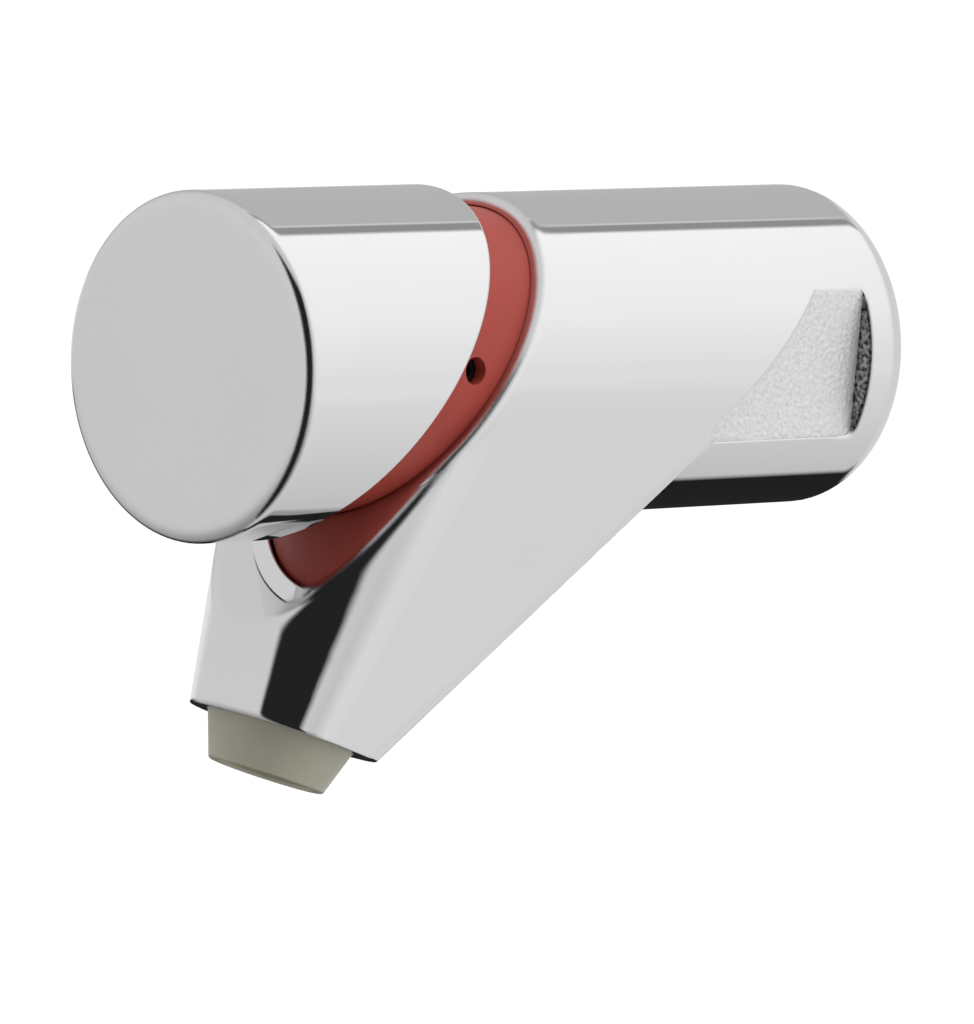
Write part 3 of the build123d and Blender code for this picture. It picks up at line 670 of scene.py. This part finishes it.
class TAP_OT_finishes(bpy.types.Operator):
    """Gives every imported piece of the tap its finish."""

    bl_idname = "tap.finishes"
    bl_label = "Finishes"

    def execute(self, context):
        finishes = context.scene.tap_finishes
        give(["body"], body_chrome(finishes, context.scene.tap_sizes))
        give(["push_button"], polished_chrome("button_chrome", finishes, button_edges)[0])
        give(["colour_ring"], moulded_plastic(
            "red_ring", finishes.ring, roughness=0.42, grain_height=0.00002, shine=0.3))
        give(["nozzle"], moulded_plastic(
            "nozzle_plastic", finishes.nozzle, roughness=0.38, depth=0.002))
        give(["jet_insert"], moulded_plastic(
            "jet_plastic", finishes.jet_insert, roughness=0.45))
        give(["piston", "flow_regulator"], moulded_plastic(
            "white_plastic", finishes.white_plastic, roughness=0.4))
        give(["button_insert"], moulded_plastic(
            "black_plastic", finishes.black_plastic, roughness=0.45))
        give([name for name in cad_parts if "seal" in name or "washer" in name
              or "gasket" in name], soft_rubber(finishes))
        give(["cartridge_sleeve", "head_nut", "valve_head", "valve_nut", "inlet_stub"],
             turned_metal("turned_brass", finishes.brass, roughness=0.28))
        give(["ring_screw"],
             turned_metal("dark_steel", finishes.dark_steel, roughness=0.45))
        give(["valve_seat", "button_screw", "spindle", "inlet_filter", "return_spring"],
             turned_metal("stainless_steel", finishes.steel, roughness=0.25))
        return {"FINISHED"}


class TAP_OT_grips(bpy.types.Operator):
    """Lays the rough cast surface into the gripping flats on both sides."""

    bl_idname = "tap.grips"
    bl_label = "Gripping flats"

    def execute(self, context):
        sizes = context.scene.tap_sizes
        first = self.skin(context, sizes)
        make_active(first)
        bpy.ops.object.duplicate()
        second = named(bpy.context.object, "grip_skin_left")
        second.scale.x = -1
        apply_place(second)
        turn_outwards(second)
        for piece in (first, second):
            make_active(piece)
            bpy.ops.object.shade_smooth_by_angle(angle=radians(60))
            piece.data.materials.append(cast_chrome(context.scene.tap_finishes))
            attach(piece, "tap_body")
        return {"FINISHED"}

    def skin(self, context, sizes):
        """One flat: a fine grid cut to the flat's outline, lumpy, with a closed back."""
        floor_x = PLACES["body"][1].x - sizes.grip_depth
        length = sizes.grip_bottom_end - sizes.grip_start
        height = sizes.grip_top + sizes.grip_bottom
        deselect_all()
        bpy.ops.mesh.primitive_grid_add(
            x_subdivisions=round(height / sizes.grain_step),
            y_subdivisions=round(length / sizes.grain_step), size=1.0)
        skin = named(bpy.context.object, "grip_skin_right")
        skin.scale = (height, length, 1)
        skin.rotation_euler = (0, pi / 2, 0)
        skin.location = (
            floor_x, -sizes.grip_start - length / 2, (sizes.grip_top - sizes.grip_bottom) / 2)
        apply_place(skin)
        top = Vector((0, -sizes.grip_top_end, sizes.grip_top))
        bottom = Vector((0, -sizes.grip_bottom_end, sizes.grip_end_height - sizes.grip_bottom))
        run = top - bottom
        sliced(skin, top, (0, -run.z, run.y))
        texture = bpy.data.textures.new("cast_lumps", "CLOUDS")
        texture.noise_scale = sizes.grain_size
        texture.noise_depth = 1
        lumps = skin.modifiers.new("lumps", "DISPLACE")
        lumps.texture = texture
        lumps.texture_coords = "LOCAL"
        lumps.strength = sizes.grain_height
        lumps.mid_level = 0.1
        wall = skin.modifiers.new("backing", "SOLIDIFY")
        wall.thickness = sizes.grain_height
        wall.offset = -1
        apply_modifiers(skin)
        turn_outwards(skin)
        return skin


class TAP_OT_thread(bpy.types.Operator):
    """Cuts the pipe thread on the inlet stub."""

    bl_idname = "tap.thread"
    bl_label = "Inlet thread"

    def execute(self, context):
        sizes = context.scene.tap_sizes
        low, high = PLACES["inlet_stub"]
        crest = high.x
        root = crest - sizes.thread_depth
        neck_end = low.y + sizes.neck_length
        tube = profile([
            (sizes.stub_bore, high.y), (root, high.y), (root, neck_end),
            (sizes.stub_neck, neck_end), (sizes.stub_neck, low.y), (sizes.stub_step, low.y),
            (sizes.stub_step, low.y / 2), (sizes.stub_bore, low.y / 2)], "inlet_stub_thread")
        wound(tube, 0, 1, sizes.thread_steps)
        turn_outwards(tube)
        pitch = sizes.thread_pitch
        turns = round((high.y - neck_end) / pitch) + 2
        inner = root - sizes.thread_depth / 4
        middle = neck_end - pitch
        foot, tip = pitch * RIDGE_FOOT, pitch * RIDGE_TIP
        shoulder = crest - pitch * RIDGE_ROUNDING
        ridge = profile([
            (inner, middle - foot), (inner, middle + foot), (shoulder, middle + tip),
            (crest, middle), (shoulder, middle - tip)], "thread_ridge")
        wound(ridge, pitch, turns, sizes.thread_steps)
        sliced(ridge, (0, high.y - sizes.thread_lead, 0), (0, 1, 0), fill=True)
        sliced(ridge, (0, neck_end, 0), (0, -1, 0), fill=True)
        turn_outwards(ridge)
        stub = joined([tube, ridge])
        make_active(stub)
        bpy.ops.object.shade_smooth_by_angle(angle=radians(35))
        stub.data.materials.append(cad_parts["inlet_stub"].material_slots[0].material)
        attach(stub, "tap_body")
        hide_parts("inlet_stub")
        return {"FINISHED"}


class TAP_OT_spring(bpy.types.Operator):
    """Winds the return spring, which shortens when the button goes in."""

    bl_idname = "tap.spring"
    bl_label = "Return spring"

    def execute(self, context):
        sizes = context.scene.tap_sizes
        low, high = PLACES["return_spring"]
        wire = sizes.spring_wire / 2
        start, stop = high.y - wire, low.y + wire
        deselect_all()
        bpy.ops.mesh.primitive_circle_add(
            vertices=WIRE_SIDES, radius=wire, fill_type="NGON")
        coil = named(bpy.context.object, "return_spring_coil")
        coil.location = (sizes.spring_radius, start, 0)
        apply_place(coil)
        wound(coil, (stop - start) / sizes.spring_turns, sizes.spring_turns, COIL_STEPS)
        turn_outwards(coil)
        make_active(coil)
        bpy.ops.object.shade_smooth_by_angle(angle=radians(50))
        coil.data.materials.append(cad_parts["return_spring"].material_slots[0].material)
        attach(coil, "tap_body")
        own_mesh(coil)
        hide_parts("return_spring")
        return {"FINISHED"}


class TAP_OT_stage(bpy.types.Operator):
    """Lays the floor and sets up the light and the camera."""

    bl_idname = "tap.stage"
    bl_label = "Stage"

    def execute(self, context):
        stage = context.scene.tap_stage
        self.floor(stage)
        self.room(context)
        self.lamps(stage)
        self.camera(context, stage)
        context.scene.view_settings.view_transform = "Standard"
        return {"FINISHED"}

    def floor(self, stage):
        """A pale floor that adds light only where it is seen directly."""
        deselect_all()
        bpy.ops.mesh.primitive_plane_add(
            size=FLOOR_SIZE, location=(0, 0, packed_box[0].z - stage.floor_drop))
        floor = bpy.context.object
        floor.name = "floor"
        material, tree, shader, place = new_material("floor_paint")
        cloud = noise(tree, place, scale=1.5, detail=2.0)
        tree.links.new(
            tint(tree, cloud, stage.floor_colour, change=0.01), shader.inputs["Base Color"])
        shader.inputs["Roughness"].default_value = 0.9
        rays = tree.nodes.new("ShaderNodeLightPath")
        glow = maths(tree, "MULTIPLY", rays.outputs["Is Camera Ray"], stage.floor_glow)
        shader.inputs["Emission Color"].default_value = grey(1)
        tree.links.new(glow, shader.inputs["Emission Strength"])
        floor.data.materials.append(material)
        floor.visible_glossy = False

    def room(self, context):
        """White to the eye, a studio with a dark side to mirrors, plain light to the rest."""
        world = bpy.data.worlds.new("studio")
        context.scene.world = world
        world.use_nodes = True
        tree = world.node_tree
        tree.nodes.clear()
        place = tree.nodes.new("ShaderNodeTexCoord")
        split = tree.nodes.new("ShaderNodeSeparateXYZ")
        tree.links.new(place.outputs["Generated"], split.inputs[0])
        x, y, z = split.outputs
        height = shifted(tree, z, 0.5, 0.5)
        depth = shifted(tree, y, 0.5, 0.5)
        window, mirrored = self.studio(tree, x, y, z, height, depth)
        plain = blended(
            tree, maths(tree, "MULTIPLY", window, DARK_PLAIN_SHARE),
            steps(tree, height, PLAIN_BY_HEIGHT), grey(DARK_PLAIN_LEVEL))
        rays = tree.nodes.new("ShaderNodeLightPath")
        light = self.chosen(
            tree, rays.outputs["Is Glossy Ray"],
            self.background(tree, plain), self.background(tree, mirrored))
        light = self.chosen(
            tree, rays.outputs["Is Camera Ray"], light, self.background(tree, grey(1)))
        output = tree.nodes.new("ShaderNodeOutputWorld")
        tree.links.new(light, output.inputs["Surface"])

    def studio(self, tree, x, y, z, height, depth):
        """The share of the studio that is its dark side, and all of it as mirrored."""
        turn = shifted(tree, maths(tree, "ARCTAN2", z, x), 1 / (2 * pi), 0.5)
        back = steps(tree, turn, BACK_BY_TURN)
        front = steps(tree, height, FRONT_BY_HEIGHT)
        # Just under the horizon stands the white backdrop
        backdrop = steps(tree, height, BACKDROP_BY_HEIGHT)
        back = blended(tree, backdrop, back, grey(BACKDROP_LEVEL))
        behind = steps(tree, depth, BEHIND_BY_DEPTH)
        back = blended(tree, behind, back, grey(BEHIND_LEVEL))
        whole = blended(tree, steps(tree, depth, REAR_BY_DEPTH), front, back)
        outwards = maths(tree, "MULTIPLY", y, -1.0)
        front_turn = maths(tree, "ARCTAN2", x, outwards)
        dark = steps(tree, shifted(tree, front_turn, 1 / (2 * pi), 0.5), DARK_BY_TURN)
        window = maths(tree, "MULTIPLY", dark, steps(tree, height, DARK_BY_HEIGHT))
        return window, blended(tree, window, whole, grey(DARK_LEVEL))

    def background(self, tree, colour):
        """Light of one colour from all round."""
        node = tree.nodes.new("ShaderNodeBackground")
        connect(tree, node.inputs["Color"], colour)
        return node.outputs[0]

    def chosen(self, tree, share, first, second):
        """The first shader, or the second where the share is 1."""
        node = tree.nodes.new("ShaderNodeMixShader")
        for socket, value in zip(node.inputs, (share, first, second)):
            tree.links.new(value, socket)
        return node.outputs[0]

    def lamps(self, stage):
        """Two large soft lamps that no mirror shows."""
        for name, (at, size), watts in (
            ("key_lamp", KEY_LAMP, stage.key_watts),
            ("side_lamp", SIDE_LAMP, stage.fill_watts),
        ):
            bpy.ops.object.light_add(type="AREA", location=at)
            lamp = bpy.context.object
            lamp.name = name
            lamp.data.size = size
            lamp.data.energy = watts
            aim = LAMP_AIM - Vector(at)
            lamp.rotation_euler = aim.to_track_quat("-Z", "Y").to_euler()
            lamp.visible_glossy = False

    def camera(self, context, stage):
        """The photograph's camera."""
        bpy.ops.object.camera_add(location=CAMERA_PLACE)
        camera = bpy.context.object
        camera.name = "camera"
        axes = Matrix((CAMERA_RIGHT, CAMERA_UP, CAMERA_BACK))
        camera.rotation_euler = axes.transposed().to_euler()
        camera.data.sensor_width = SENSOR_WIDTH
        camera.data.lens = stage.lens
        camera.data.clip_start = CLIP_START
        camera.data.clip_end = CLIP_END
        context.scene.camera = camera


class TAP_PT_panel(bpy.types.Panel):
    """Lists the steps that build the tap."""

    bl_label = "Wall tap"
    bl_idname = "TAP_PT_panel"
    bl_space_type = "VIEW_3D"
    bl_region_type = "UI"
    bl_category = "Tap"

    def draw(self, context):
        column = self.layout.column()
        for step in STEPS:
            column.operator(step.bl_idname)


GROUPS = {"tap_finishes": TapFinishes, "tap_sizes": TapSizes, "tap_stage": TapStage}
STEPS = (TAP_OT_finishes, TAP_OT_grips, TAP_OT_thread, TAP_OT_spring, TAP_OT_stage)


def register():
    for kind in (*GROUPS.values(), *STEPS, TAP_PT_panel):
        bpy.utils.register_class(kind)
    for name, kind in GROUPS.items():
        setattr(bpy.types.Scene, name, PointerProperty(type=kind))


def unregister():
    for name in GROUPS:
        delattr(bpy.types.Scene, name)
    for kind in (TAP_PT_panel, *reversed(STEPS), *reversed(GROUPS.values())):
        bpy.utils.unregister_class(kind)


def main():
    register()
    for step in STEPS:
        group, name = step.bl_idname.split(".")
        getattr(getattr(bpy.ops, group), name)()


if __name__ == "__main__":
    main()
